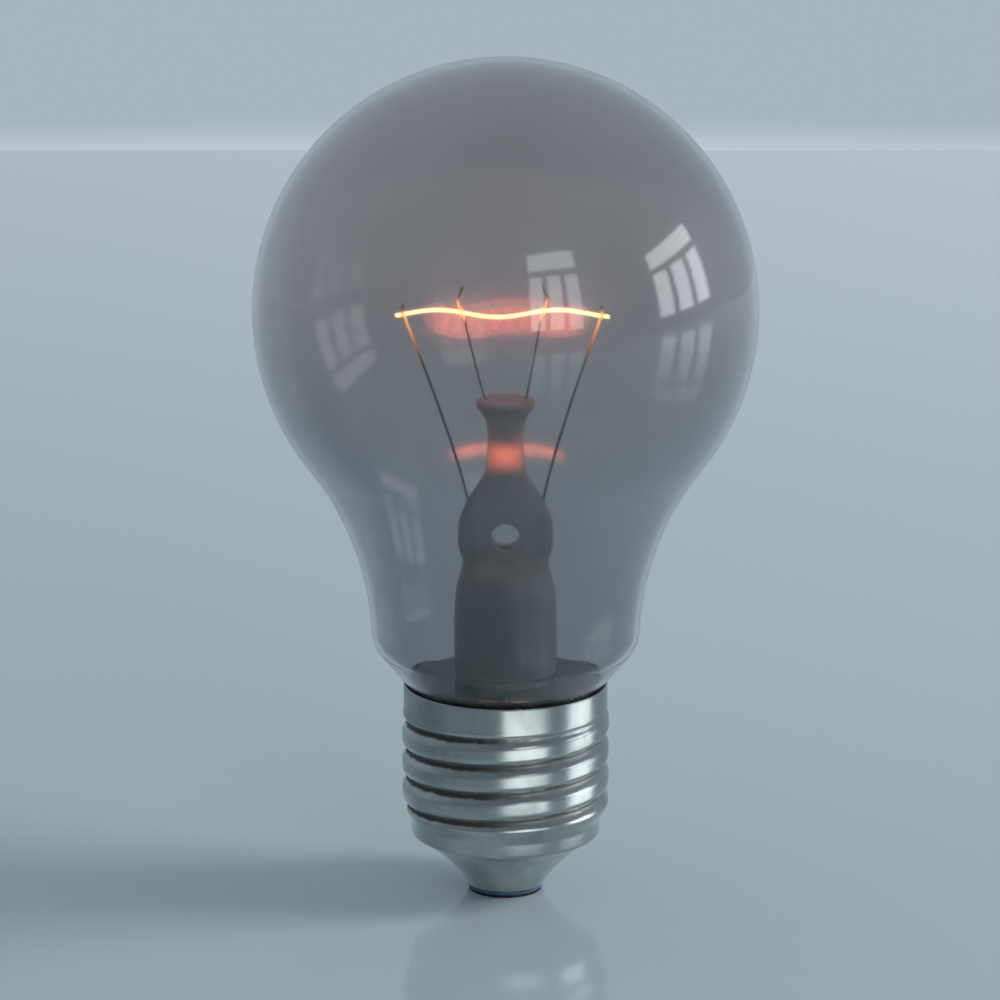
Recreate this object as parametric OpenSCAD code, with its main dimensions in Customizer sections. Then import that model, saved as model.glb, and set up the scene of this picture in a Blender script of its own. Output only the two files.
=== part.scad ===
// Incandescent lamp with a screw cap, standing on its centre contact.
// Millimetres. The lamp's axis is Z, the contact's face is at z = 0, and the filament lies along X.

/* [Envelope] */
// Radius of the round globe
globe_r = 31.6; // [27:0.1:40]
// Height of the globe's centre above the contact
globe_z = 75.4; // [72:0.1:95]
// Outer radius at the foot of the neck
neck_r = 17; // [15.5:0.1:20]
// Angle at which the neck narrows downwards
neck_taper = 3; // [1:0.5:6]
// Length of the neck's straight part
neck_len = 0.3; // [0.1:0.1:4]
// Radius of the bend from the neck to the cone above the cap
shoulder_r = 4.5; // [2.5:0.1:6]
// Angle at which that cone narrows downwards
cone_ang = 40; // [34:1:50]
// Thickness of the glass
glass_wall = 0.6; // [0.4:0.05:0.9]

/* [Cap] */
// Height of the cap's rim above the contact
rim_z = 27.4; // [26:0.1:34]
// Outer radius of the plain collar at the rim
collar_r = 12.95; // [12.9:0.05:14]
// Height of the plain collar
collar_h = 3; // [2:0.1:4]
// Radius over the thread's crests
crest_r = 13.15; // [13:0.05:14.5]
// Radius at the bottom of the thread
root_r = 12.5; // [12.3:0.05:12.8]
// Thread pitch, 7 turns to the inch
thread_pitch = 3.629; // [3:0.001:4.4]
// Radius of the plain body below the thread
body_r = 12.05; // [11:0.05:12.2]
// Height of the edge where the taper starts
body_z = 7.75; // [7:0.05:9]
// Thickness of the stamped shell
shell_wall = 0.25; // [0.2:0.05:0.4]
// Outer radius of the shell at its tip
tip_r = 4.9; // [4.5:0.05:6]
// Height of the shell's tip above the contact
tip_z = 0.85; // [0.7:0.05:1.2]

/* [Contact] */
// Thickness of the contact plate
contact_h = 0.35; // [0.2:0.05:0.6]
// Radius of the solder that fills the plate's hole
solder_r = 1.2; // [0.8:0.05:1.6]

/* [Stem] */
// Outer radius of the stem tube
tube_r = 6.5; // [6:0.05:7.5]
// Thickness of the stem tube
tube_wall = 0.9; // [0.6:0.05:1.2]
// Height of the waist under the press
waist_z = 43.3; // [42:0.1:46]
// Outer radius at the waist
waist_r = 5.43; // [5.3:0.05:6]
// Radius of the press head
press_r = 5.95; // [5.6:0.05:6.8]
// Half the thickness of the flat press
press_half = 1.9; // [1.7:0.1:3]
// Height of the exhaust hole through the press
hole_z = 47; // [46.2:0.05:48]
// Radius of the exhaust hole
hole_r = 1.82; // [1.2:0.02:2.2]
// Radius of the arbor above the press
arbor_r = 2.25; // [2.1:0.05:3]
// Radius of the button at the arbor's end
button_r = 3.74; // [3.5:0.05:5]
// Height of the button's top
button_z = 64.1; // [62:0.1:68]
// Outer radius of the exhaust tube
exhaust_r = 1.9; // [1.6:0.05:2.2]
// Bore radius of the exhaust tube
exhaust_bore = 1.1; // [0.7:0.05:1.2]
// Height of the exhaust tube's sealed tip
exhaust_tip_z = 9; // [8:0.1:14]

/* [Disc] */
// Thickness of the deflector disc
disc_h = 1.7; // [1.6:0.05:2]
// Radius of the disc's rounded top edge
disc_edge = 1.5; // [0.8:0.05:1.55]

/* [Filament and wires] */
// Height of the filament's middle line
filament_z = 75.05; // [70:0.05:80]
// Half the length of the filament
filament_half = 13.4; // [10:0.1:16]
// Radius of the filament's coil
filament_r = 0.26; // [0.2:0.02:0.5]
// How far the filament sits to one side of the axis
sway = -0.4; // [-1:0.05:1]
// Height of the filament's waves
wave_h = 0.45; // [0:0.05:1]
// Length of one wave
wave_len = 15; // [10:0.5:20]
// Radius of the lead wires
lead_r = 0.16; // [0.12:0.01:0.3]
// Length of filament that stands out past each lead wire
filament_tail = 1; // [0.5:0.1:3]
// Distance from the axis to the lead wires where they leave the press
lead_foot_x = 4.65; // [4.4:0.05:4.8]
// Radius of the support wires
support_r = 0.11; // [0.08:0.01:0.16]
// Distance from the axis to the supports at the filament
support_top_x = 4.95; // [3:0.05:7]
// Distance from the axis to the supports at the button
support_foot_x = 2.55; // [2:0.05:2.8]
// Radius of the seal wires and outer leads
seal_r = 0.2; // [0.15:0.01:0.25]

/* [Hidden] */

$fn = 64;
// Gap between pieces that are slipped together
slip = 0.1;
// Gap between pieces that are fused, soldered or cemented together
joint_gap = 0.03;
// Gap round the lead wires where they bend as they leave the press
lead_gap = 0.08;

// Envelope: globe, hollow sweep, shoulder, cone and tuck, each tangent to the next
seat_r = collar_r - shell_wall - slip;
tuck_r = 0.4;
shoulder_x = neck_r - shoulder_r * cos(neck_taper);
cone_top_x = shoulder_x + shoulder_r * cos(cone_ang);
cone_low_x = seat_r + tuck_r * (1 - cos(cone_ang));
cone_len = (cone_top_x - cone_low_x) / sin(cone_ang);
shoulder_z = rim_z + (shoulder_r + tuck_r) * sin(cone_ang) + cone_len * cos(cone_ang);
neck_out = [cos(neck_taper), -sin(neck_taper)];
neck_up = [sin(neck_taper), cos(neck_taper)];
neck_top = [neck_r, shoulder_z - shoulder_r * sin(neck_taper)] + neck_len * neck_up;
// The sweep's radius is the one that also touches the globe
globe_to_neck = neck_top - [0, globe_z];
sweep_r = (globe_to_neck * globe_to_neck - globe_r * globe_r) / (2 * (globe_r - globe_to_neck * neck_out));
sweep_c = neck_top + sweep_r * neck_out;
sweep_ang = acos(sweep_c[0] / (globe_r + sweep_r));
// The disc's top stands above the rim by this much
disc_rise = 1;
// Below the rim the neck steps in, clear of the thread's inside
seat_h = disc_h - disc_rise + slip;
step_h = 2.2;
foot_r = root_r - shell_wall - 1.15;
foot_in_r = foot_r - glass_wall;

// Stem: the flare is an arc from the tube out to the neck's end
disc_top_z = rim_z + disc_rise;
flare_r = 12;
flare_top_z = disc_top_z - disc_h;
flare_ang = acos((tube_r + flare_r - foot_in_r) / flare_r);
neck_end_z = flare_top_z - flare_r * sin(flare_ang);
flare_end_z = flare_top_z - (flare_r + tube_wall) * sin(flare_ang);
press_foot_z = waist_z - 1.8;
press_top_z = waist_z + 7;
lead_foot_z = press_top_z;
seal_foot_x = 3.6;
bore_r = tube_r - tube_wall;

// Cap: the thread runs between the body and the collar
thread_top_z = rim_z - collar_h;
thread_low_z = body_z + 1.5;
// Height of a thread bottom on the -X side
groove_z = thread_top_z - 2.05;
// A thread bottom is a narrow groove between wide rounded crests: the higher, the narrower
groove_power = 3;
fade_top = 1.5;
fade_low = 2.6;
thread_sides = 48;
thread_rows = 56;
// The swept thread ends inside the plain rings by this much, and is thinner there by the seam
thread_lap = 0.3;
seam = 0.04;

// Insulator and contact, each a little narrower than what is above it
insulator_r = tip_r - 0.12;
contact_r = tip_r - 0.22;
insulator_z = 5.2;
wire_hole_r = solder_r;

// The lead wires cross the filament just short of its ends
lead_top_x = filament_half - filament_tail;

// Shell solder bead, on the inside of the plain body
bead_r = 0.55;
bead_x = body_r - shell_wall - bead_r - joint_gap;
bead_z = body_z + 0.85;

function lerp(a, b, t) = a + (b - a) * t;
function ease(t) = let (u = min(max(t, 0), 1)) u * u * (3 - 2 * u);
function unit(v) = v / norm(v);
function reversed(list) = [for (i = [len(list) - 1:-1:0]) list[i]];

// Points of an arc about [cx, cy], from angle a0 to a1
function arc(cx, cy, r, a0, a1, n) =
    [for (i = [0:n]) let (a = lerp(a0, a1, i / n)) [cx + r * cos(a), cy + r * sin(a)]];

// One point between b and c on a smooth curve through a, b, c and d
function spline_point(a, b, c, d, t) =
    b + t * (c - a) / 2 + t * t * (2 * a - 5 * b + 4 * c - d) / 2 + t * t * t * (3 * b - a - 3 * c + d) / 2;

// Smooth curve through all the points, with n steps between neighbours
function curve(p, n) = let (last = len(p) - 1) concat(
    [for (i = [0:last - 1]) for (k = [0:n - 1])
        spline_point(p[max(i - 1, 0)], p[i], p[i + 1], p[min(i + 2, last)], k / n)],
    [p[last]]);

// Directions across a path, each turned as little as possible from the one before
function across(v, t) = unit(v - (v * t) * t);
function normals(t, i, found) = i == len(t) ? found :
    normals(t, i + 1, concat(found, [across(found[i - 1], t[i])]));

// Round wire along a path
module wire(path, r, sides = 8) {
    last = len(path) - 1;
    along = [for (i = [0:last]) unit(path[min(i + 1, last)] - path[max(i - 1, 0)])];
    side = normals(along, 1, [across([0, 1, 0.01], along[0])]);
    points = [for (i = [0:last]) for (k = [0:sides - 1]) let (a = 360 * k / sides)
        path[i] + r * (cos(a) * side[i] + sin(a) * cross(along[i], side[i]))];
    walls = [for (i = [0:last - 1]) for (k = [0:sides - 1]) let (m = (k + 1) % sides)
        [i * sides + k, (i + 1) * sides + k, (i + 1) * sides + m, i * sides + m]];
    foot = [for (k = [0:sides - 1]) k];
    head = [for (k = [sides - 1:-1:0]) last * sides + k];
    polyhedron(points, concat(walls, [foot, head]));
}

// Straight round rod between two points of the XZ plane
module rod(from, to, r) {
    v = to - from;
    translate([from[0], 0, from[1]])
        rotate([0, atan2(v[0], v[1]), 0])
            cylinder(r = r, h = norm(v));
}

// Outline of the glass, moved inwards by inset
function glass_outline(inset) = concat(
    arc(0, globe_z, globe_r - inset, 90, -sweep_ang, 40),
    arc(sweep_c[0], sweep_c[1], sweep_r + inset, 180 - sweep_ang, 180 - neck_taper, 16),
    arc(shoulder_x, shoulder_z, shoulder_r - inset, -neck_taper, -cone_ang, 10),
    arc(seat_r + tuck_r, rim_z, tuck_r + inset, 180 - cone_ang, 180, 6),
    [[seat_r - inset, rim_z - seat_h],
     [foot_r - inset, rim_z - seat_h - step_h],
     [foot_r - inset, neck_end_z]]);

// Blown glass, smoke-darkened, in one piece with its neck
module glass_envelope() {
    color([0.45, 0.46, 0.5, 0.5])
        rotate_extrude()
            polygon(concat(glass_outline(0), reversed(glass_outline(glass_wall))));
}

// Front outline of the stem, from the button down to the waist
stem_front = concat(
    [[0, button_z]],
    arc(button_r - 0.5, button_z - 0.5, 0.5, 90, -20, 6),
    curve([[button_r - 0.25, button_z - 1.1], [arbor_r + 0.25, button_z - 2.8], [arbor_r, button_z - 5.4],
           [arbor_r + 0.25, press_top_z + 5.2], [arbor_r + 0.5, press_top_z + 4.1],
           [lerp(arbor_r, press_r, 0.55), press_top_z + 1.7], [press_r - 0.3, press_top_z - 0.7],
           [press_r, waist_z + 4.7], [press_r, waist_z + 2.1], [waist_r, waist_z],
           [tube_r - 0.25, waist_z - 3.6], [tube_r, waist_z - 7.5]], 5));

// Half the stem's thickness, front to back, up its height
press_side = concat(
    curve([[tube_r + 0.8, waist_z - 3], [tube_r - 0.1, waist_z - 1.4], [press_half + 1.1, waist_z + 0.4],
           [press_half, waist_z + 2.2], [press_half, waist_z + 3.5]], 5),
    curve([[press_half, button_z - 6.5], [press_half + 0.4, button_z - 5.6], [button_r + 0.2, button_z - 4.4],
           [button_r + 0.6, button_z - 3.6]], 4));

module stem_body() {
    intersection() {
        rotate_extrude()
            polygon(concat(stem_front,
                arc(tube_r + flare_r, flare_top_z, flare_r, 180, 180 + flare_ang, 12),
                [[foot_r, neck_end_z], [foot_r, flare_end_z], [0, flare_end_z]]));
        rotate([90, 0, 90])
            linear_extrude(height = 4 * foot_r, center = true)
                polygon(concat([[2 * foot_r, 0], [2 * foot_r, waist_z - 3]], press_side,
                    [[button_r + 0.6, button_z + 1], [-button_r - 0.6, button_z + 1]],
                    [for (p = reversed(press_side)) [-p[0], p[1]]],
                    [[-2 * foot_r, waist_z - 3], [-2 * foot_r, 0]]));
    }
}

// Hollow of the flare tube, closed by the press
module stem_hollow() {
    rotate_extrude()
        polygon(concat([[0, press_foot_z]],
            arc(bore_r - 1.4, press_foot_z - 1.4, 1.4, 90, 0, 6),
            arc(tube_r + flare_r, flare_top_z, flare_r + tube_wall, 180, 180 + flare_ang, 12),
            [[tube_r + flare_r - (flare_r + tube_wall) * cos(flare_ang), flare_end_z - 1], [0, flare_end_z - 1]]));
}

function seal_foot(s) = [s * seal_foot_x, press_foot_z];
function seal_head(s) = [s * lead_foot_x, lead_foot_z];

// Flare tube, press, arbor and button, fused into one piece of glass
module stem() {
    color([0.28, 0.3, 0.32])
        difference() {
            stem_body();
            stem_hollow();
            translate([0, 0, hole_z])
                rotate([90, 0, 0])
                    cylinder(r = hole_r, h = 4 * press_half, center = true);
            translate([0, 0, press_foot_z - 1])
                cylinder(r = exhaust_bore, h = hole_z - press_foot_z + 1);
            for (s = [-1, 1]) {
                rod(seal_foot(s) - [s * 0.12, 1], seal_head(s), seal_r + joint_gap);
                rod(seal_head(s) - [s * 0.01, 0.1], seal_head(s) + [s * 0.7, 5], lead_r + lead_gap);
                rod(support_foot(s), support_foot(s) + 2 * (support_mouth(s) - support_foot(s)), support_r + joint_gap);
            }
        }
}

// Thin tube that the lamp was pumped out through, sealed at its lower tip
module exhaust_tube() {
    top = press_foot_z - joint_gap;
    color([0.35, 0.37, 0.4])
        difference() {
            union() {
                translate([0, 0, exhaust_tip_z + exhaust_r])
                    cylinder(r = exhaust_r, h = top - exhaust_tip_z - exhaust_r);
                translate([0, 0, exhaust_tip_z + exhaust_r])
                    sphere(r = exhaust_r);
            }
            translate([0, 0, exhaust_tip_z + 2 * exhaust_r])
                cylinder(r = exhaust_bore, h = top);
        }
}

// Dark glossy disc that closes the neck round the stem, on the step inside the neck
module deflector_disc() {
    disc_r = seat_r - glass_wall - slip;
    color([0.12, 0.13, 0.14])
        rotate_extrude()
            polygon(concat([[tube_r + slip, disc_top_z - disc_h], [disc_r, disc_top_z - disc_h]],
                arc(disc_r - disc_edge, disc_top_z - disc_edge, disc_edge, 0, 90, 8),
                [[tube_r + slip, disc_top_z]]));
}

// Height of the filament's centre line at x
function filament_height(x) = filament_z + wave_h * cos(360 * ((x - sway) / wave_len + 0.54));

// Coiled tungsten wire, as the solid that its coil fills
module filament() {
    color([1, 0.8, 0.45])
        wire([for (i = [-27:27]) let (x = sway + filament_half * i / 27) [x, 0, filament_height(x)]], filament_r);
}

// The leads rise nearly straight from the press, lean out, and hook over the filament from behind
function lead_path(s) = let (
    behind = lead_r + filament_r + joint_gap,
    top_x = s * lead_top_x + sway,
    top_z = filament_height(top_x),
    rise = top_z - lead_foot_z,
    foot = seal_head(s) + [0, 0.05]) concat(
    [for (i = [0:14]) let (t = i / 15)
        [lerp(foot[0], top_x, pow(t, 1.2)), behind * ease(2 * t - 1), foot[1] + rise * t]],
    [for (a = [0:30:180])
        [top_x, behind * cos(a), top_z + 0.35 + (a == 0 || a == 180 ? 0 : 0.8 * sin(a))]],
    [[top_x, -behind, top_z - 0.3]]);

// Nickel lead wire
module lead_wire(s) {
    color([0.3, 0.25, 0.22])
        wire(lead_path(s), lead_r);
}

module lead_wire_left() {
    lead_wire(-1);
}

module lead_wire_right() {
    lead_wire(1);
}

// The supports start inside the button and curl once round the filament
function support_mouth(s) = [s * support_foot_x, button_z];
function support_foot(s) = [s * (support_foot_x - 0.65), button_z - 2.5];
function support_path(s) = let (
    round_r = support_r + filament_r + joint_gap,
    top_x = s * support_top_x + sway,
    top_z = filament_height(top_x),
    mouth = support_mouth(s),
    foot = support_foot(s)) concat(
    [[foot[0] + s * 0.02, 0, foot[1] + 0.08], [mouth[0], 0, mouth[1]]],
    [for (i = [1:6]) let (t = i / 7)
        [lerp(mouth[0], top_x, pow(t, 0.9)), round_r * ease(2 * t - 1), lerp(mouth[1], top_z, t)]],
    [for (a = [0:30:360]) [top_x + s * 0.28 * a / 360, round_r * cos(a), top_z + round_r * sin(a)]],
    [[top_x + s * 0.5, round_r, top_z + 0.8], [top_x + s * 0.62, round_r * 0.8, top_z + 1.6],
     [top_x + s * 0.3, round_r * 0.5, top_z + 2.4], [top_x, round_r * 0.4, top_z + 3.3]]);

// Molybdenum support wire
module support_wire(s) {
    color([0.25, 0.22, 0.22])
        wire(support_path(s), support_r);
}

module support_wire_left() {
    support_wire(-1);
}

module support_wire_right() {
    support_wire(1);
}

// Copper-clad wire inside the press, which seals to the glass
module seal_wire(s) {
    v = unit(seal_head(s) - seal_foot(s));
    color([0.6, 0.3, 0.2])
        rod(seal_foot(s), seal_head(s) - v * joint_gap, seal_r);
}

module seal_wire_left() {
    seal_wire(-1);
}

module seal_wire_right() {
    seal_wire(1);
}

// Copper lead down the flare tube, past the exhaust tip, to the centre contact
outer_left_path = [[-seal_foot_x, 0, press_foot_z - 0.05], [-3.5, 0, 30], [-3.4, 0, 20], [-3.1, 0, 12],
    [-2.3, 0, 8.2], [-0.8, 0, 6.3], [-0.1, 0, insulator_z], [0, 0, 3], [0, 0, contact_h + joint_gap]];

module outer_lead_left() {
    color([0.72, 0.45, 0.3])
        wire(curve(outer_left_path, 5), seal_r);
}

// Copper lead down the flare tube and out to the bead on the shell
outer_right_path = [[seal_foot_x, 0, press_foot_z - 0.05], [3.5, 0, 30], [3.9, 0, 21], [5.4, 0, 14.6],
    [7.8, 0, 10.9], [bead_x - 0.95 * bead_r, 0, bead_z + 0.5 * bead_r]];

module outer_lead_right() {
    color([0.72, 0.45, 0.3])
        wire(curve(outer_right_path, 6), seal_r);
}

// Outer radius of the thread at angle a and height z: a right-hand round thread that fades at both ends
function thread_r(a, z) =
    let (low = ease((z - thread_low_z) / fade_low),
         high = ease((thread_top_z - z) / fade_top),
         turn = (z - groove_z) / thread_pitch - (a + 180) / 360)
    lerp(body_r, lerp(collar_r, crest_r, high), low)
        - (crest_r - root_r) * low * high * pow((1 + cos(360 * turn)) / 2, groove_power);

module thread_sleeve() {
    low = thread_low_z - thread_lap;
    high = thread_top_z + thread_lap;
    rows = thread_rows + 1;
    function grid(inset) = [for (j = [0:thread_rows]) for (i = [0:thread_sides - 1])
        let (a = 360 * i / thread_sides, z = lerp(low, high, j / thread_rows), r = thread_r(a, z) - inset)
        [r * cos(a), r * sin(a), z]];
    count = rows * thread_sides;
    function at(layer, j, i) = layer * count + j * thread_sides + i % thread_sides;
    outer = [for (j = [0:thread_rows - 1]) for (i = [0:thread_sides - 1])
        [at(0, j, i), at(0, j + 1, i), at(0, j + 1, i + 1), at(0, j, i + 1)]];
    inner = [for (j = [0:thread_rows - 1]) for (i = [0:thread_sides - 1])
        [at(1, j, i), at(1, j, i + 1), at(1, j + 1, i + 1), at(1, j + 1, i)]];
    ends = [for (i = [0:thread_sides - 1]) each [
        [at(0, 0, i), at(0, 0, i + 1), at(1, 0, i + 1), at(1, 0, i)],
        [at(0, thread_rows, i), at(1, thread_rows, i), at(1, thread_rows, i + 1), at(0, thread_rows, i + 1)]]];
    polyhedron(concat(grid(seam), grid(shell_wall - seam)), concat(outer, inner, ends), convexity = 8);
}

// Hollow taper from the tip up to the body's edge, moved inwards by inset
function taper(inset) = let (
    from = [tip_r - 1.2 * inset, tip_z],
    bow = [lerp(tip_r, body_r, 0.37) - 0.7 * inset, lerp(tip_z, body_z, 0.63) + 0.7 * inset],
    to = [body_r - inset, body_z + 0.4 * inset])
    [for (i = [0:12]) let (t = i / 12) (1 - t) * (1 - t) * from + 2 * t * (1 - t) * bow + t * t * to];

// Thin stamped shell: collar, screw thread, plain body and taper
module screw_shell() {
    color([0.62, 0.66, 0.66])
        union() {
            rotate_extrude()
                polygon([[collar_r - shell_wall, thread_top_z], [collar_r, thread_top_z],
                    [collar_r, rim_z], [collar_r - shell_wall, rim_z]]);
            thread_sleeve();
            rotate_extrude()
                polygon(concat(taper(0), [[body_r, thread_low_z], [body_r - shell_wall, thread_low_z]],
                    reversed(taper(shell_wall))));
        }
}

// Cement ring between the neck and the shell
module basing_cement() {
    in_r = foot_r + joint_gap;
    out_r = root_r - shell_wall - slip;
    top_r = collar_r - shell_wall - slip;
    step_z = rim_z - seat_h - step_h;
    color([0.5, 0.44, 0.36])
        rotate_extrude()
            polygon([[in_r, neck_end_z + 0.5], [out_r, neck_end_z + 0.5], [out_r, thread_top_z],
                [top_r, thread_top_z + 0.6], [top_r, rim_z - seat_h - 0.1], [seat_r - 0.02, rim_z - seat_h - 0.1],
                [in_r, step_z]]);
}

// Black glass that holds the contact in the shell and shows as a thin ring at the tip
module cap_insulator() {
    side = [for (p = taper(shell_wall + joint_gap)) if (p[1] < insulator_z) p];
    color([0.06, 0.07, 0.09])
        rotate_extrude()
            polygon(concat([[wire_hole_r, contact_h], [insulator_r, contact_h], [insulator_r, tip_z - joint_gap],
                [side[0][0], tip_z - joint_gap]], side,
                [[side[len(side) - 1][0], insulator_z], [wire_hole_r, insulator_z]]));
}

// Brass contact plate with a rounded lower edge
module centre_contact() {
    edge = contact_h / 3;
    color([0.55, 0.4, 0.25])
        rotate_extrude()
            polygon(concat([[solder_r, 0]], arc(contact_r - edge, edge, edge, -90, 0, 5),
                [[contact_r, contact_h], [solder_r, contact_h]]));
}

// Solder that fills the hole in the contact plate
module contact_solder() {
    color([0.6, 0.6, 0.6])
        cylinder(r = solder_r, h = contact_h);
}

// Solder bead that joins the right outer lead to the shell
module shell_solder() {
    color([0.6, 0.6, 0.6])
        translate([bead_x, 0, bead_z])
            sphere(r = bead_r);
}

glass_envelope();
stem();
exhaust_tube();
deflector_disc();
lead_wire_left();
lead_wire_right();
seal_wire_left();
seal_wire_right();
outer_lead_left();
outer_lead_right();
support_wire_left();
support_wire_right();
filament();
screw_shell();
basing_cement();
cap_insulator();
centre_contact();
contact_solder();
shell_solder();
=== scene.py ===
# Filament lamp with smoke-darkened glass on a worn screw cap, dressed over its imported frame.
# Dictionaries hold millimetres and degrees unless a note says otherwise; Blender works in metres.
import math

import bpy
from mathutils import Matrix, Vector


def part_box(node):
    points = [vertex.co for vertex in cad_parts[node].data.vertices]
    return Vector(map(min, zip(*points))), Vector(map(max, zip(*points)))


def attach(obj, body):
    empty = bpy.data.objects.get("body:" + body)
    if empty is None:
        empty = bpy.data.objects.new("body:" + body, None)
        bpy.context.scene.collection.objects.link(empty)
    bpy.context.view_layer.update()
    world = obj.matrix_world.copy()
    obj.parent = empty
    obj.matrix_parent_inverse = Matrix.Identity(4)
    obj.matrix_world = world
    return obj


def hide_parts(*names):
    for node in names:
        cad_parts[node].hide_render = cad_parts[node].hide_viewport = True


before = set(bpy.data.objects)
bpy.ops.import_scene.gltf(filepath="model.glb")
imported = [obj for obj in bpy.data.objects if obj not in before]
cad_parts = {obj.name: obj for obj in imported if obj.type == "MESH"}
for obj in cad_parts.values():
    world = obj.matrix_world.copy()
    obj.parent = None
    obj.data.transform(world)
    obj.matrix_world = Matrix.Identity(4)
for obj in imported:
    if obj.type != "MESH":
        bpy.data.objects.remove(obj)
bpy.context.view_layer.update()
bpy.ops.object.select_all(action="DESELECT")
scene = bpy.context.scene
mm = 0.001
print("frame loaded:", len(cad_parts), "nodes")


def lerp(a, b, t):
    return a + (b - a) * t


def ease(t):
    u = min(max(t, 0), 1)
    return u * u * (3 - 2 * u)


def arcPoints(x, z, radius, start, end, count):
    angles = [math.radians(lerp(start, end, i / count)) for i in range(count + 1)]
    return [(x + radius * math.cos(a), z + radius * math.sin(a)) for a in angles]


def smoothCurve(points, steps):
    # the curve runs through every point, whatever number of coordinates they have
    found = []
    last = len(points) - 1
    for i in range(last):
        a, b = points[max(i - 1, 0)], points[i]
        c, d = points[i + 1], points[min(i + 2, last)]
        for k in range(steps):
            t = k / steps
            found.append(tuple(
                q + t * (r - p) / 2 + t * t * (2 * p - 5 * q + 4 * r - s) / 2
                + t ** 3 * (3 * q - p - 3 * r + s) / 2
                for p, q, r, s in zip(a, b, c, d)))
    return found + [tuple(points[last])]


def selectOnly(piece):
    bpy.ops.object.select_all(action="DESELECT")
    piece.select_set(True)
    bpy.context.view_layer.objects.active = piece


def latheOutline(name, outline, steps, *materials):
    # one vertex is drawn down the outline, edge by edge, then the line is spun round the lamp's axis
    bpy.ops.mesh.primitive_plane_add(size=2 * mm)
    piece = bpy.context.object
    piece.name = piece.data.name = name
    for material in materials:
        piece.data.materials.append(material)
    bpy.ops.object.mode_set(mode="EDIT")
    bpy.ops.mesh.merge(type="CENTER")
    bpy.ops.transform.translate(value=(outline[0][0] * mm, 0, outline[0][1] * mm))
    for here, there in zip(outline, outline[1:]):
        step = ((there[0] - here[0]) * mm, 0, (there[1] - here[1]) * mm)
        bpy.ops.mesh.extrude_region_move(TRANSFORM_OT_translate={"value": step})
    bpy.ops.mesh.select_all(action="SELECT")
    bpy.ops.mesh.spin(steps=steps, angle=math.tau, center=(0, 0, 0), axis=(0, 0, 1))
    bpy.ops.mesh.select_all(action="SELECT")
    bpy.ops.mesh.remove_doubles(threshold=0.003 * mm)
    bpy.ops.mesh.normals_make_consistent(inside=False)
    bpy.ops.object.mode_set(mode="OBJECT")
    return piece


def applyModifier(piece, kind, **settings):
    modifier = piece.modifiers.new(kind.title(), kind)
    for key, value in settings.items():
        setattr(modifier, key, value)
    selectOnly(piece)
    bpy.ops.object.modifier_apply(modifier=modifier.name)


def wireAlong(name, path, radius, sides, material):
    # a round bar that follows the points, as a curve with a bevel made into a mesh
    curve = bpy.data.curves.new(name, "CURVE")
    curve.dimensions = "3D"
    spline = curve.splines.new("POLY")
    spline.points.add(len(path) - 1)
    for point, place in zip(spline.points, path):
        point.co = (place[0] * mm, place[1] * mm, place[2] * mm, 1)
    curve.bevel_depth = radius * mm
    curve.bevel_resolution = sides // 2 - 2
    curve.use_fill_caps = True
    curve.materials.append(material)
    wire = bpy.data.objects.new(name, curve)
    scene.collection.objects.link(wire)
    selectOnly(wire)
    bpy.ops.object.convert(target="MESH")
    piece = bpy.context.object
    bpy.ops.object.mode_set(mode="EDIT")
    bpy.ops.mesh.select_all(action="SELECT")
    bpy.ops.mesh.remove_doubles(threshold=0.001 * mm)
    bpy.ops.mesh.normals_make_consistent(inside=False)
    bpy.ops.object.mode_set(mode="OBJECT")
    return piece


def finishPiece(piece, node, smoothAngle):
    selectOnly(piece)
    bpy.ops.object.shade_smooth_by_angle(angle=math.radians(smoothAngle))
    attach(piece, "root")
    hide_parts(node)
    print("made", piece.name, len(piece.data.polygons), "faces")


def linear(hexColour):
    # sRGB hex to the linear colour that a shader takes
    parts = [int(hexColour[i:i + 2], 16) / 255 for i in (1, 3, 5)]
    return tuple(c / 12.92 if c <= 0.04045 else ((c + 0.055) / 1.055) ** 2.4 for c in parts) + (1,)


def newMaterial(name):
    material = bpy.data.materials.new(name)
    material.use_nodes = True
    material.node_tree.nodes.clear()
    return material


def addNode(tree, kind, inputs, **settings):
    # inputs holds a value, or another node's output, for each socket by its name or number
    node = tree.nodes.new(kind)
    for key, value in settings.items():
        setattr(node, key, value)
    for key, value in inputs.items():
        if isinstance(value, bpy.types.NodeSocket):
            tree.links.new(value, node.inputs[key])
        else:
            node.inputs[key].default_value = value
    return node


# Camera: in front of the lamp and above it, looking a little down
cameraSet = {"back": 580, "side": -0.7, "height": 194.7, "pitch": 13.905, "fieldOfView": 12.02}
bpy.ops.object.camera_add(
    location=(cameraSet["side"] * mm, -cameraSet["back"] * mm, cameraSet["height"] * mm),
    rotation=(math.radians(90 - cameraSet["pitch"]), 0, 0))
camera = bpy.context.object
camera.data.sensor_width = 36
camera.data.angle = math.radians(cameraSet["fieldOfView"])
camera.data.clip_start, camera.data.clip_end = 0.05, 50
scene.camera = camera

# Sizes shared by the glass and the cap
glassLow, glassHigh = (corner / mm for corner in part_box("glass_envelope"))
shellLow, shellHigh = (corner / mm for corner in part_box("screw_shell"))
discLow, discHigh = (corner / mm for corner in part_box("deflector_disc"))
turns = 160  # steps round the axis on the large turned pieces

# Blown soda-lime glass: clear and smooth, with a mirror of the room at its edges
clearLook = {"tint": "#f4f8f8", "ior": 1.5, "roughness": 0.07, "mirror": 0.25}
# Soot and metal that left the filament and settled inside the glass: browner high up, greyer low down
smokeLook = {"high": "#b1a2a2", "low": "#a2a0a4", "from": 52, "to": 88, "cloud": 14, "coat": 0.6, "haze": 0.2,
             "mirror": 0.3}


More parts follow.
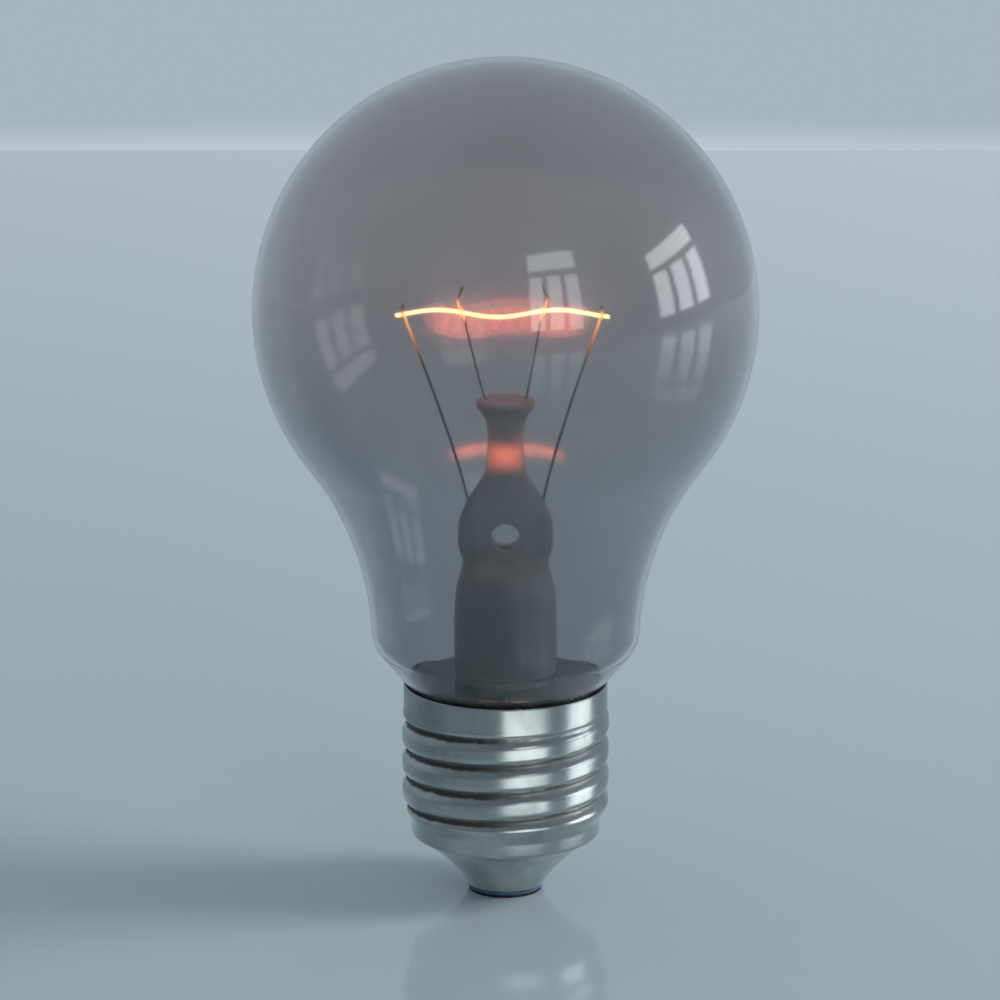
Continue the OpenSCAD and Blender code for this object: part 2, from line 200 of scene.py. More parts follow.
def glassShader(tree, tint, ior, roughness, **extra):
    # rays that test for shadow pass straight through, tinted; every other ray bends as in real glass
    bent = addNode(tree, "ShaderNodeBsdfPrincipled", {
        "Base Color": tint, "Transmission Weight": 1, "IOR": ior, "Roughness": roughness} | extra)
    straight = addNode(tree, "ShaderNodeBsdfTransparent", {"Color": tint})
    path = addNode(tree, "ShaderNodeLightPath", {})
    mix = addNode(tree, "ShaderNodeMixShader", {0: path.outputs["Is Shadow Ray"], 1: bent.outputs[0],
                                                2: straight.outputs[0]})
    addNode(tree, "ShaderNodeOutputMaterial", {"Surface": mix.outputs[0]})


clearGlass = newMaterial("blownClearGlass")
glassShader(clearGlass.node_tree, linear(clearLook["tint"]), clearLook["ior"], clearLook["roughness"],
            **{"Specular IOR Level": clearLook["mirror"]})

smokedGlass = newMaterial("smokedInnerGlass")
tree = smokedGlass.node_tree
place = addNode(tree, "ShaderNodeTexCoord", {}).outputs["Object"]
upright = addNode(tree, "ShaderNodeSeparateXYZ", {0: place}).outputs["Z"]
rise = addNode(tree, "ShaderNodeMapRange", {
    "Value": upright, "From Min": smokeLook["from"] * mm, "From Max": smokeLook["to"] * mm},
               interpolation_type="SMOOTHSTEP")
clouds = addNode(tree, "ShaderNodeTexNoise", {
    "Vector": place, "Scale": 1 / (smokeLook["cloud"] * mm), "Detail": 3})
cloudy = addNode(tree, "ShaderNodeMapRange", {
    "Value": clouds.outputs["Fac"], "From Min": 0.3, "From Max": 0.7, "To Min": 0.95, "To Max": 1.04})
smoke = addNode(tree, "ShaderNodeMix", {
    0: rise.outputs[0], 6: linear(smokeLook["low"]), 7: linear(smokeLook["high"])}, data_type="RGBA")
smokeTint = addNode(tree, "ShaderNodeVectorMath", {0: smoke.outputs[2], 1: cloudy.outputs[0]},
                    operation="MULTIPLY")
glassShader(tree, smokeTint.outputs[0], clearLook["ior"], 0, **{
    "Specular IOR Level": smokeLook["mirror"], "Coat Weight": smokeLook["coat"],
    "Coat Roughness": smokeLook["haze"]})

# Lead glass of the stem: drawn and pressed, darkened by the same smoke
stemLook = {"tint": "#abb3b6", "ior": 1.54, "roughness": 0.36, "clear": 0.6}
stemMaterial = newMaterial("pressedSmokedLeadGlass")
tree = stemMaterial.node_tree
glassShader(tree, linear(stemLook["tint"]), stemLook["ior"], stemLook["roughness"],
            **{"Transmission Weight": stemLook["clear"]})

# Phenolic disc: moulded, near black, polished by handling, with a film of dust
discLook = {"base": "#1b1e21", "dust": "#3d4245", "roughness": 0.09, "film": 5}
discMaterial = newMaterial("mouldedPhenolic")
tree = discMaterial.node_tree
place = addNode(tree, "ShaderNodeTexCoord", {}).outputs["Object"]
film = addNode(tree, "ShaderNodeTexNoise", {
    "Vector": place, "Scale": 1 / (discLook["film"] * mm), "Detail": 6, "Roughness": 0.65})
filmed = addNode(tree, "ShaderNodeMapRange", {
    "Value": film.outputs["Fac"], "From Min": 0.45, "From Max": 0.75})
shade = addNode(tree, "ShaderNodeMix", {
    0: filmed.outputs[0], 6: linear(discLook["base"]), 7: linear(discLook["dust"])}, data_type="RGBA")
gloss = addNode(tree, "ShaderNodeMapRange", {
    "Value": film.outputs["Fac"], "From Min": 0.3, "From Max": 0.7,
    "To Min": discLook["roughness"] * 0.7, "To Max": discLook["roughness"] * 2})
body = addNode(tree, "ShaderNodeBsdfPrincipled", {
    "Base Color": shade.outputs[2], "Roughness": gloss.outputs[0], "IOR": 1.6})
addNode(tree, "ShaderNodeOutputMaterial", {"Surface": body.outputs[0]})

# Nickel plate over stamped brass: smooth, rubbed dull in patches, with dark brown in the thread's grooves
# that is partly grime and partly painted shade
plateLook = {"metal": "#a2a7a6", "dull": "#8b9292", "grimeAndShade": "#2a1f18", "roughness": 0.18, "patch": 9,
             "ragged": 1.3, "scratchSize": 3, "scratchRun": 9, "scratch": 0.1, "scratchDepth": 0.1}
nickelPlate = newMaterial("wornNickelPlate")
tree = nickelPlate.node_tree
place = addNode(tree, "ShaderNodeTexCoord", {}).outputs["Object"]
patches = addNode(tree, "ShaderNodeTexNoise", {
    "Vector": place, "Scale": 1 / (plateLook["patch"] * mm), "Detail": 8, "Roughness": 0.62,
    "Distortion": 0.6})
patchy = addNode(tree, "ShaderNodeMapRange", {
    "Value": patches.outputs["Fac"], "From Min": 0.42, "From Max": 0.66})
# the grooves' dark brown, grime and painted shade together, follows how deep a point lies in a groove
grooveAmount = addNode(tree, "ShaderNodeAttribute", {}, attribute_name="groove")
ragged = addNode(tree, "ShaderNodeTexNoise", {
    "Vector": place, "Scale": 1 / (plateLook["ragged"] * mm), "Detail": 5})
raggedPart = addNode(tree, "ShaderNodeMapRange", {
    "Value": ragged.outputs["Fac"], "From Min": 0.3, "From Max": 0.7, "To Min": -0.12, "To Max": 0.12})
grimeAndShadeSum = addNode(tree, "ShaderNodeMath", {0: grooveAmount.outputs["Fac"], 1: raggedPart.outputs[0]},
                   operation="ADD")
grooveGrimeAndShade = addNode(tree, "ShaderNodeMapRange", {"Value": grimeAndShadeSum.outputs[0], "From Min": 0.62, "From Max": 0.9})
# painted shade: the left side, away from the lights on the right, gets more of the grooves' dark brown and
# the right side less
across = addNode(tree, "ShaderNodeSeparateXYZ", {0: place}).outputs["X"]
leftShade = addNode(tree, "ShaderNodeMapRange", {
    "Value": across, "From Min": -3 * mm, "From Max": 4 * mm, "To Min": 0.95, "To Max": 0.45})
grimeAndShade = addNode(tree, "ShaderNodeMath", {0: grooveGrimeAndShade.outputs[0], 1: leftShade.outputs[0]}, operation="MULTIPLY")
dulled = addNode(tree, "ShaderNodeMix", {
    0: patchy.outputs[0], 6: linear(plateLook["metal"]), 7: linear(plateLook["dull"])}, data_type="RGBA")
coloured = addNode(tree, "ShaderNodeMix", {
    0: grimeAndShade.outputs[0], 6: dulled.outputs[2], 7: linear(plateLook["grimeAndShade"])}, data_type="RGBA")
metallic = addNode(tree, "ShaderNodeMapRange", {"Value": grimeAndShade.outputs[0], "To Min": 1.0, "To Max": 0.2})
roughBase = addNode(tree, "ShaderNodeMapRange", {
    "Value": patches.outputs["Fac"], "From Min": 0.35, "From Max": 0.7,
    "To Min": plateLook["roughness"], "To Max": plateLook["roughness"] * 1.9})
roughPart = addNode(tree, "ShaderNodeMath", {0: grimeAndShade.outputs[0], 1: 0.35, 2: roughBase.outputs[0]},
                    operation="MULTIPLY_ADD")
lines = addNode(tree, "ShaderNodeMapping", {"Vector": place, "Scale": (1, 1, plateLook["scratchRun"])})
scratches = addNode(tree, "ShaderNodeTexNoise", {
    "Vector": lines.outputs[0], "Scale": 1 / (plateLook["scratchSize"] * mm), "Detail": 10, "Roughness": 0.7})
dents = addNode(tree, "ShaderNodeBump", {
    "Height": scratches.outputs["Fac"], "Strength": plateLook["scratch"],
    "Distance": plateLook["scratchDepth"] * mm})
body = addNode(tree, "ShaderNodeBsdfPrincipled", {
    "Base Color": coloured.outputs[2], "Metallic": metallic.outputs[0], "Roughness": roughPart.outputs[0],
    "Normal": dents.outputs[0]})
addNode(tree, "ShaderNodeOutputMaterial", {"Surface": body.outputs[0]})

# Drawn wire, dark and half dull, with a painted glow: it shines orange over a stretch of its height near the
# filament, though it is no lamp, and fades again near its top
wireAndPaintedGlow = {"roughness": 0.4, "metallic": 0.8, "spot": 0.8, "glowFade": 0.9, "sharpness": 2.2,
           "red": (1, 0.16, 0.02, 1), "orange": (1, 0.42, 0.09, 1)}


def wireWithPaintedGlow(name, look):
    material = newMaterial(name)
    tree = material.node_tree
    place = addNode(tree, "ShaderNodeTexCoord", {}).outputs["Object"]
    upright = addNode(tree, "ShaderNodeSeparateXYZ", {0: place}).outputs["Z"]
    # painted glow, rising between the two lower heights and fading below the top one
    glowRise = addNode(tree, "ShaderNodeMapRange", {
        "Value": upright, "From Min": look["paintedGlowLow"] * mm, "From Max": look["paintedGlowFull"] * mm},
                      interpolation_type="SMOOTHSTEP")
    glowFade = addNode(tree, "ShaderNodeMapRange", {
        "Value": upright, "From Min": (look["paintedGlowEnd"] - wireAndPaintedGlow["glowFade"]) * mm,
        "From Max": look["paintedGlowEnd"] * mm, "To Min": 1, "To Max": 0})
    paintedGlow = addNode(tree, "ShaderNodeMath", {0: glowRise.outputs[0], 1: glowFade.outputs[0]},
                  operation="MULTIPLY")
    sharper = addNode(tree, "ShaderNodeMath", {0: paintedGlow.outputs[0], 1: wireAndPaintedGlow["sharpness"]}, operation="POWER")
    glow = addNode(tree, "ShaderNodeMix", {0: paintedGlow.outputs[0], 6: wireAndPaintedGlow["red"], 7: wireAndPaintedGlow["orange"]},
                   data_type="RGBA")
    power = addNode(tree, "ShaderNodeMath", {0: sharper.outputs[0], 1: look["strength"]},
                    operation="MULTIPLY")
    spots = addNode(tree, "ShaderNodeTexNoise", {
        "Vector": place, "Scale": 1 / (wireAndPaintedGlow["spot"] * mm), "Detail": 4})
    shade = addNode(tree, "ShaderNodeMix", {
        0: spots.outputs["Fac"], 6: linear(look["colour"]), 7: linear(look["dull"])}, data_type="RGBA")
    body = addNode(tree, "ShaderNodeBsdfPrincipled", {
        "Base Color": shade.outputs[2], "Metallic": wireAndPaintedGlow["metallic"], "Roughness": wireAndPaintedGlow["roughness"],
        "Emission Color": glow.outputs[2], "Emission Strength": power.outputs[0]})
    addNode(tree, "ShaderNodeOutputMaterial", {"Surface": body.outputs[0]})
    return material


# Nickel-plated iron, oxidised dark by the heat
leadLook = {"colour": "#3c342e", "dull": "#221d1b", "paintedGlowLow": 66, "paintedGlowFull": 75, "paintedGlowEnd": 76.1,
            "strength": 2}
leadMaterial = wireWithPaintedGlow("oxidisedNickelWire", leadLook)
# Molybdenum, dark grey and bare
supportLook = {"colour": "#3a3637", "dull": "#242223", "paintedGlowLow": 73.2, "paintedGlowFull": 74.6, "paintedGlowEnd": 77.4,
               "strength": 2.6}
supportMaterial = wireWithPaintedGlow("drawnMolybdenum", supportLook)

# Tungsten at white heat: the light comes from its own glow, so its grey hardly shows
filamentLook = {"metal": "#6b6866", "glow": (1, 0.68, 0.27, 1), "strength": 4.2}
tungsten = newMaterial("glowingTungsten")
tree = tungsten.node_tree
body = addNode(tree, "ShaderNodeBsdfPrincipled", {
    "Base Color": linear(filamentLook["metal"]), "Metallic": 1, "Roughness": 0.4,
    "Emission Color": filamentLook["glow"], "Emission Strength": filamentLook["strength"]})
addNode(tree, "ShaderNodeOutputMaterial", {"Surface": body.outputs[0]})


def plainMaterial(name, colour, dullColour, roughness, metallic, spotSize, ior=1.5):
    # two close colours in soft spots, with roughness that follows them
    material = newMaterial(name)
    tree = material.node_tree
    place = addNode(tree, "ShaderNodeTexCoord", {}).outputs["Object"]
    spots = addNode(tree, "ShaderNodeTexNoise", {"Vector": place, "Scale": 1 / (spotSize * mm), "Detail": 6})
    spread = addNode(tree, "ShaderNodeMapRange", {
        "Value": spots.outputs["Fac"], "From Min": 0.35, "From Max": 0.65})
    shade = addNode(tree, "ShaderNodeMix", {0: spread.outputs[0], 6: linear(colour), 7: linear(dullColour)},
                    data_type="RGBA")
    rough = addNode(tree, "ShaderNodeMapRange", {
        "Value": spread.outputs[0], "To Min": roughness * 0.8, "To Max": min(roughness * 1.4, 1)})
    body = addNode(tree, "ShaderNodeBsdfPrincipled", {
        "Base Color": shade.outputs[2], "Roughness": rough.outputs[0], "Metallic": metallic, "IOR": ior})
    addNode(tree, "ShaderNodeOutputMaterial", {"Surface": body.outputs[0]})
    return material


copperWire = plainMaterial("borateCoatedCopper", "#8a4a30", "#5c2f22", 0.35, 0.9, 1.5)  # red borate skin
# painted reflection: the black glass is given a mid blue colour for the blue sheen that its edge mirrors
blackGlass = plainMaterial("blackVitrite", "#335a78", "#3a6a8c", 0.12, 0, 2, 1.6)  # fired, with a blue sheen
brass = plainMaterial("handledBrass", "#5e432b", "#3a2a1e", 0.38, 1, 1.2)  # stamped plate, browned
tinSolder = plainMaterial("tinSolder", "#8f9193", "#64676a", 0.42, 1, 0.7)  # dull, slightly grainy
cement = plainMaterial("firedCapCement", "#8c7c68", "#6f6252", 0.9, 0, 0.6)  # phenolic-bound marble flour


# Cap: a thin stamped shell with a plain collar, a round thread and a taper to the tip
cap = {"rim": shellHigh.z, "collarRadius": 12.95, "collarHeight": 3, "crestRadius": 13.15, "rootRadius": 12.5,
       "pitch": 3.629, "bodyRadius": 12.05, "bodyHeight": 1.5, "bodyEdge": 7.75, "wall": 0.25,
       "tipRadius": 4.9, "tip": shellLow.z, "fadeTop": 1.5, "fadeLow": 2.6, "grooveDrop": 2.05,
       "groovePower": 3, "rows": 112, "edgeRound": 0.3, "taperBow": 0.37, "lipRound": 0.07}
threadTop = cap["rim"] - cap["collarHeight"]
threadLow = cap["bodyEdge"] + cap["bodyHeight"]
grooveHeight = threadTop - cap["grooveDrop"]  # a thread bottom on the -X side


def threadShape(x, y, z):
    # how much thread there is at a height, and how far down into a groove a point is
    angle = math.degrees(math.atan2(y, x))
    low = ease((z - threadLow) / cap["fadeLow"])
    high = ease((threadTop - z) / cap["fadeTop"])
    turn = (z - grooveHeight) / cap["pitch"] - (angle + 180) / 360
    return low, high, ((1 + math.cos(math.tau * turn)) / 2) ** cap["groovePower"]


def threadRadius(x, y, z):
    low, high, dip = threadShape(x, y, z)
    crest = lerp(cap["bodyRadius"], lerp(cap["collarRadius"], cap["crestRadius"], high), low)
    return crest - (cap["crestRadius"] - cap["rootRadius"]) * low * high * dip


def capOutline():
    rows = [lerp(cap["rim"], threadTop, i / 12) for i in range(13)]
    rows += [lerp(threadTop, threadLow, i / cap["rows"]) for i in range(1, cap["rows"] + 1)]
    points = [(cap["collarRadius"], z) for z in rows]
    edge, tip = (cap["bodyRadius"], cap["bodyEdge"]), (cap["tipRadius"], cap["tip"])
    bow = (lerp(tip[0], edge[0], cap["taperBow"]), lerp(tip[1], edge[1], 1 - cap["taperBow"]))
    taper = [tuple((1 - t) ** 2 * edge[i] + 2 * t * (1 - t) * bow[i] + t * t * tip[i] for i in (0, 1))
             for t in [k / 24 for k in range(25)]]
    # the corner between the body and the taper is a small bend, not a fold
    bend = cap["edgeRound"]
    start, end = (edge[0], edge[1] + bend), taper[1]
    corner = [tuple((1 - t) ** 2 * start[i] + 2 * t * (1 - t) * edge[i] + t * t * end[i] for i in (0, 1))
              for t in [k / 6 for k in range(7)]]
    return points + corner + taper[2:]


screwCap = latheOutline("screwCap", capOutline(), turns, nickelPlate)
for vertex in screwCap.data.vertices:
    x, y, z = vertex.co / mm
    if threadLow - 0.01 < z < threadTop + 0.01:
        scale = threadRadius(x, y, z) / math.hypot(x, y)
        vertex.co.x *= scale
        vertex.co.y *= scale
applyModifier(screwCap, "SOLIDIFY", thickness=cap["wall"] * mm, offset=-1, use_even_offset=True)
applyModifier(screwCap, "BEVEL", width=cap["lipRound"] * mm, segments=2, limit_method="ANGLE",
              angle_limit=math.radians(60))
groove = screwCap.data.attributes.new("groove", "FLOAT", "POINT")
for vertex, value in zip(screwCap.data.vertices, groove.data):
    low, high, dip = threadShape(*(vertex.co / mm))
    inside = threadLow < vertex.co.z / mm < threadTop
    value.value = dip * low * high if inside else 0

# Envelope: globe, sweep, shoulder, cone and tuck, each tangent to the next
envelope = {"radius": glassHigh.x, "neckRadius": 17, "neckTaper": 3, "neckLength": 0.3, "shoulderRadius": 4.5,
            "cone": 40, "wall": 0.6, "tuckRadius": 0.4, "seatRadius": 12.6, "seatDepth": 0.8,
            "stepDepth": 2.2, "footRadius": 11.1}
globeHeight = glassHigh.z - envelope["radius"]


def envelopeOutline():
    taper = math.radians(envelope["neckTaper"])
    rim, seat, tuck = cap["rim"], envelope["seatRadius"], envelope["tuckRadius"]
    shoulder = envelope["shoulderRadius"]
    shoulderX = envelope["neckRadius"] - shoulder * math.cos(taper)
    cone = math.radians(envelope["cone"])
    coneLength = (shoulderX + shoulder * math.cos(cone) - seat - tuck * (1 - math.cos(cone))) / math.sin(cone)
    shoulderZ = rim + (shoulder + tuck) * math.sin(cone) + coneLength * math.cos(cone)
    neckTop = Vector((envelope["neckRadius"], shoulderZ - shoulder * math.sin(taper)))
    neckTop += envelope["neckLength"] * Vector((math.sin(taper), math.cos(taper)))
    # the sweep's radius is the one that also touches the globe
    out = Vector((math.cos(taper), -math.sin(taper)))
    toNeck = neckTop - Vector((0, globeHeight))
    sweep = (toNeck.dot(toNeck) - envelope["radius"] ** 2) / (2 * (envelope["radius"] - toNeck.dot(out)))
    sweepCentre = neckTop + sweep * out
    sweepAngle = math.degrees(math.acos(sweepCentre.x / (envelope["radius"] + sweep)))
    step = rim - envelope["seatDepth"] - envelope["stepDepth"]
    return (arcPoints(0, globeHeight, envelope["radius"], 90, -sweepAngle, 84)
            + arcPoints(sweepCentre.x, sweepCentre.y, sweep, 180 - sweepAngle, 180 - envelope["neckTaper"],
                        24)
            + arcPoints(shoulderX, shoulderZ, shoulder, -envelope["neckTaper"], -envelope["cone"], 20)
            + arcPoints(seat + tuck, rim, tuck, 180 - envelope["cone"], 180, 8)
            + [(seat, rim - envelope["seatDepth"]), (envelope["footRadius"], step),
               (envelope["footRadius"], glassLow.z)])


outline = envelopeOutline()
glassOutline = [p for p, q in zip(outline, outline[1:] + [(0, 0)]) if math.dist(p, q) > 0.02]
bulbGlass = latheOutline("bulbGlass", [(0, glassHigh.z)] + glassOutline[1:], turns, clearGlass, smokedGlass)
applyModifier(bulbGlass, "SOLIDIFY", thickness=envelope["wall"] * mm, offset=-1, use_even_offset=True,
              material_offset=1)

# Stem: flare tube, flat press with the pumping hole, arbor and button, all one piece of glass
stem = {"tubeRadius": 6.5, "tubeWall": 0.9, "waistHeight": 43.3, "waistRadius": 5.43, "pressRadius": 5.95,
        "pressHalf": 1.9, "pressRise": 7, "holeHeight": 47, "holeRadius": 1.82, "arborRadius": 2.25,
        "buttonRadius": 3.74, "buttonTop": 64.1, "flareRadius": 12, "flareInside": 10.5, "domeRadius": 1.4}
pumpTube = {"radius": 1.9, "bore": 1.1, "tip": 9, "gap": 0.03}
pressFoot = stem["waistHeight"] - 1.8
pressTop = stem["waistHeight"] + stem["pressRise"]


def stemOutline():
    button, top, waist = stem["buttonRadius"], stem["buttonTop"], stem["waistHeight"]
    arbor, press, tube = stem["arborRadius"], stem["pressRadius"], stem["tubeRadius"]
    flare, flareTop = stem["flareRadius"], discLow.z
    flareAngle = math.degrees(math.acos((tube + flare - stem["flareInside"]) / flare))
    bore, dome = tube - stem["tubeWall"], stem["domeRadius"]
    front = [(button - 0.25, top - 1.1), (arbor + 0.25, top - 2.8), (arbor, top - 5.4),
             (arbor + 0.25, pressTop + 5.2), (arbor + 0.5, pressTop + 4.1),
             (lerp(arbor, press, 0.55), pressTop + 1.7), (press - 0.3, pressTop - 0.7),
             (press, waist + 4.7), (press, waist + 2.1), (stem["waistRadius"], waist),
             (tube - 0.25, waist - 3.6), (tube, waist - 7.5)]
    outside = ([(0, top)] + arcPoints(button - 0.5, top - 0.5, 0.5, 90, -20, 8) + smoothCurve(front, 9)
               + [(tube, lerp(waist - 7.5, flareTop, i / 10)) for i in range(1, 10)]
               + arcPoints(tube + flare, flareTop, flare, 180, 180 + flareAngle, 16))
    inside = (arcPoints(tube + flare, flareTop, flare + stem["tubeWall"], 180 + flareAngle, 180, 16)
              + [(bore, lerp(flareTop, pressFoot - dome, i / 12)) for i in range(1, 12)]
              + arcPoints(bore - dome, pressFoot - dome, dome, 0, 90, 8)
              + [(pumpTube["bore"], pressFoot), (pumpTube["bore"], stem["holeHeight"]),
                 (0, stem["holeHeight"])])
    return outside, inside


def pressSide():
    # half the stem's thickness, front to back, against its height
    waist, half, top = stem["waistHeight"], stem["pressHalf"], stem["buttonTop"]
    tube, button = stem["tubeRadius"], stem["buttonRadius"]
    return smoothCurve([(tube + 0.8, waist - 3), (tube - 0.1, waist - 1.4), (half + 1.1, waist + 0.4),
                        (half, waist + 2.2), (half, waist + 3.5), (half, top - 6.5), (half + 0.4, top - 5.6),
                        (button + 0.2, top - 4.4), (button + 0.6, top - 3.6)], 8)


stemOutside, stemInside = stemOutline()
stemGlass = latheOutline("stemGlass", stemOutside + stemInside, 128, stemMaterial)
sidePoints = pressSide()
heights = sorted({round(z, 4) for r, z in stemOutside if sidePoints[0][1] < z < sidePoints[-1][1]})
bpy.ops.object.mode_set(mode="EDIT")
for height in heights:
    # every ring of the hot glass is pinched between the jaws
    i = max(k for k, p in enumerate(sidePoints) if p[1] <= height)
    i = min(i, len(sidePoints) - 2)
    a, b = sidePoints[i], sidePoints[i + 1]
    half = lerp(a[0], b[0], (height - a[1]) / (b[1] - a[1]))
    bpy.ops.mesh.select_all(action="DESELECT")
    bpy.ops.object.mode_set(mode="OBJECT")
    widest = 0
    for vertex in stemGlass.data.vertices:
        if abs(vertex.co.z / mm - height) < 0.002:
            reach = math.hypot(vertex.co.x, vertex.co.y) / mm
            vertex.select = reach > pumpTube["bore"] + 0.1
            widest = max(widest, reach)
    bpy.ops.object.mode_set(mode="EDIT")
    if half < widest:
        bpy.ops.transform.resize(value=(1, half / widest, 1), center_override=(0, 0, height * mm))
bpy.ops.object.mode_set(mode="OBJECT")

bpy.ops.mesh.primitive_cylinder_add(vertices=64, radius=stem["holeRadius"] * mm, depth=14 * mm,
                                    location=(0, 0, stem["holeHeight"] * mm), rotation=(math.pi / 2, 0, 0))
holeCutter = bpy.context.object
applyModifier(stemGlass, "BOOLEAN", operation="DIFFERENCE", object=holeCutter, solver="EXACT")
bpy.data.objects.remove(holeCutter)

# Pumping tube inside the stem, sealed at its lower tip
tubeTip = pumpTube["tip"] + pumpTube["radius"]
tubeTop = pressFoot - pumpTube["gap"]
tubeOutline = (arcPoints(0, tubeTip, pumpTube["radius"], -90, 0, 12)
               + [(pumpTube["radius"], lerp(tubeTip, tubeTop, i / 20)) for i in range(1, 21)]
               + [(pumpTube["bore"], tubeTop), (pumpTube["bore"], tubeTip + 2.4), (0.6, tubeTip + 1.9),
                  (0, tubeTip + 1.8)])
sealedTube = latheOutline("sealedTube", tubeOutline, 48, stemMaterial)

# Disc that closes the neck round the stem
disc = {"edge": 1.5, "top": discHigh.z, "bore": stem["tubeRadius"] + 0.1, "radius": discHigh.x}
discOutline = ([(disc["bore"], discLow.z), (disc["radius"], discLow.z)]
               + arcPoints(disc["radius"] - disc["edge"], disc["top"] - disc["edge"], disc["edge"], 0, 90, 24)
               + [(disc["bore"], disc["top"]), (disc["bore"], discLow.z)])
neckDisc = latheOutline("neckDisc", discOutline, turns, discMaterial)

# Filament: a fine coil that sags and rises in shallow waves between its wires
filament = {"height": 75.05, "half": 13.4, "sway": -0.4, "radius": 0.26, "wave": 0.45, "waveLength": 15,
            "waveStart": 0.54, "wire": 0.085, "turnLength": 0.19, "turnSteps": 9}


def filamentHeight(x):
    waves = (x - filament["sway"]) / filament["waveLength"] + filament["waveStart"]
    return filament["height"] + filament["wave"] * math.cos(math.tau * waves)


coilCount = int(2 * filament["half"] / filament["turnLength"]) * filament["turnSteps"]
coilRadius = filament["radius"] - filament["wire"]
coil = []
for i in range(coilCount + 1):
    x = filament["sway"] + lerp(-1, 1, i / coilCount) * (filament["half"] - filament["wire"])
    angle = math.tau * i / filament["turnSteps"]
    coil.append((x, coilRadius * math.cos(angle), filamentHeight(x) + coilRadius * math.sin(angle)))
tungstenCoil = wireAlong("tungstenCoil", coil, filament["wire"], 6, tungsten)

# Lead wires, which hook over the filament from behind, and their seals inside the press
lead = {"radius": 0.16, "sealRadius": 0.2, "footX": 4.65, "topX": 12.4, "gap": 0.03, "sealFootX": 3.6}


def leadPath(side):
    behind = lead["radius"] + filament["radius"] + lead["gap"]
    x = side * lead["topX"] + filament["sway"]
    top = filamentHeight(x)
    foot = pressTop + 0.05
    rise = [(lerp(side * lead["footX"], x, t ** 1.2), behind * ease(2 * t - 1), lerp(foot, top, t))
            for t in [i / 40 for i in range(39)]]
    hook = [(x, behind * math.cos(a), top + 0.35 + 0.8 * math.sin(a))
            for a in [math.pi * k / 14 for k in range(15)]]
    return rise + hook + [(x, -behind, top - 0.3)]


def sealPath(side):
    return [(side * lead["sealFootX"], 0, pressFoot), (side * lead["footX"], 0, pressTop - 0.03)]


# Support wires, each held in the button and curled once round the filament
support = {"radius": 0.11, "footX": 2.55, "topX": 4.95, "gap": 0.03}


def supportPath(side):
    loop = support["radius"] + filament["radius"] + support["gap"]
    x = side * support["topX"] + filament["sway"]
    top = filamentHeight(x)
    mouth = (side * support["footX"], stem["buttonTop"])
    rise = [(side * (support["footX"] - 0.63), 0, stem["buttonTop"] - 2.42), (mouth[0], 0, mouth[1])]
    rise += [(lerp(mouth[0], x, t ** 0.9), loop * ease(2 * t - 1), lerp(mouth[1], top, t))
             for t in [i / 24 for i in range(1, 23)]]
    curl = [(x + side * 0.28 * a / math.tau, loop * math.cos(a), top + loop * math.sin(a))
            for a in [math.tau * k / 24 for k in range(25)]]
    tail = smoothCurve([curl[-1], (x + side * 0.5, loop, top + 0.8), (x + side * 0.62, loop * 0.8, top + 1.6),
                        (x + side * 0.3, loop * 0.5, top + 2.4), (x, loop * 0.4, top + 3.3)], 5)
    return rise + curl + tail[1:]


wires = {}
for side, end in ((-1, "Left"), (1, "Right")):
    wires["lead" + end] = wireAlong("leadWire" + end, leadPath(side), lead["radius"], 12, leadMaterial)
    wires["seal" + end] = wireAlong("sealWire" + end, sealPath(side), lead["sealRadius"], 12, copperWire)
    wires["support" + end] = wireAlong("supportWire" + end, supportPath(side), support["radius"], 10,
                                       supportMaterial)

# Tip: black glass ring, brass contact plate and the solder in its hole
tip = {"ringRadius": 4.78, "ringRound": 0.12, "plateRadius": 4.68, "plateHeight": 0.35, "solderRadius": 1.2,
       "ringTop": 5.2, "gap": 0.03}
hole, plate, ring = tip["solderRadius"], tip["plateHeight"], tip["ringTop"]
neck = cap["tip"] - tip["gap"]
corner = tip["ringRound"]
ringOutline = ([(hole, plate)]
               + arcPoints(tip["ringRadius"] - corner, plate + corner, corner, -90, 0, 4)
               + [(tip["ringRadius"], neck), (cap["tipRadius"] - 0.35, neck), (5.35, 2.3), (6.35, 3.7),
                  (7.35, 4.9), (7.45, ring), (hole, ring), (hole, plate)])
blackRing = latheOutline("blackRing", ringOutline, 96, blackGlass)
plateEdge = plate / 3
plateOutline = ([(hole, 0)] + arcPoints(tip["plateRadius"] - plateEdge, plateEdge, plateEdge, -90, 0, 6)
                + [(tip["plateRadius"], plate), (hole, plate), (hole, 0)])
contactPlate = latheOutline("contactPlate", plateOutline, 96, brass)
solderPlug = latheOutline("solderPlug", [(0, 0), (hole, 0), (hole, plate), (0, plate)], 32, tinSolder)
print("shapes made")

finishPiece(screwCap, "screw_shell", 50)
finishPiece(bulbGlass, "glass_envelope", 50)
finishPiece(stemGlass, "stem", 40)
finishPiece(sealedTube, "exhaust_tube", 40)
finishPiece(neckDisc, "deflector_disc", 40)
finishPiece(tungstenCoil, "filament", 60)
for end in ("Left", "Right"):
    finishPiece(wires["lead" + end], "lead_wire_" + end.lower(), 60)
    finishPiece(wires["seal" + end], "seal_wire_" + end.lower(), 60)
    finishPiece(wires["support" + end], "support_wire_" + end.lower(), 60)
finishPiece(blackRing, "cap_insulator", 40)
finishPiece(contactPlate, "centre_contact", 40)
finishPiece(solderPlug, "contact_solder", 40)
carried = {"outer_lead_left": copperWire, "outer_lead_right": copperWire, "basing_cement": cement,
           "shell_solder": tinSolder}
for node, material in carried.items():
    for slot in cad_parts[node].material_slots:
        slot.material = material

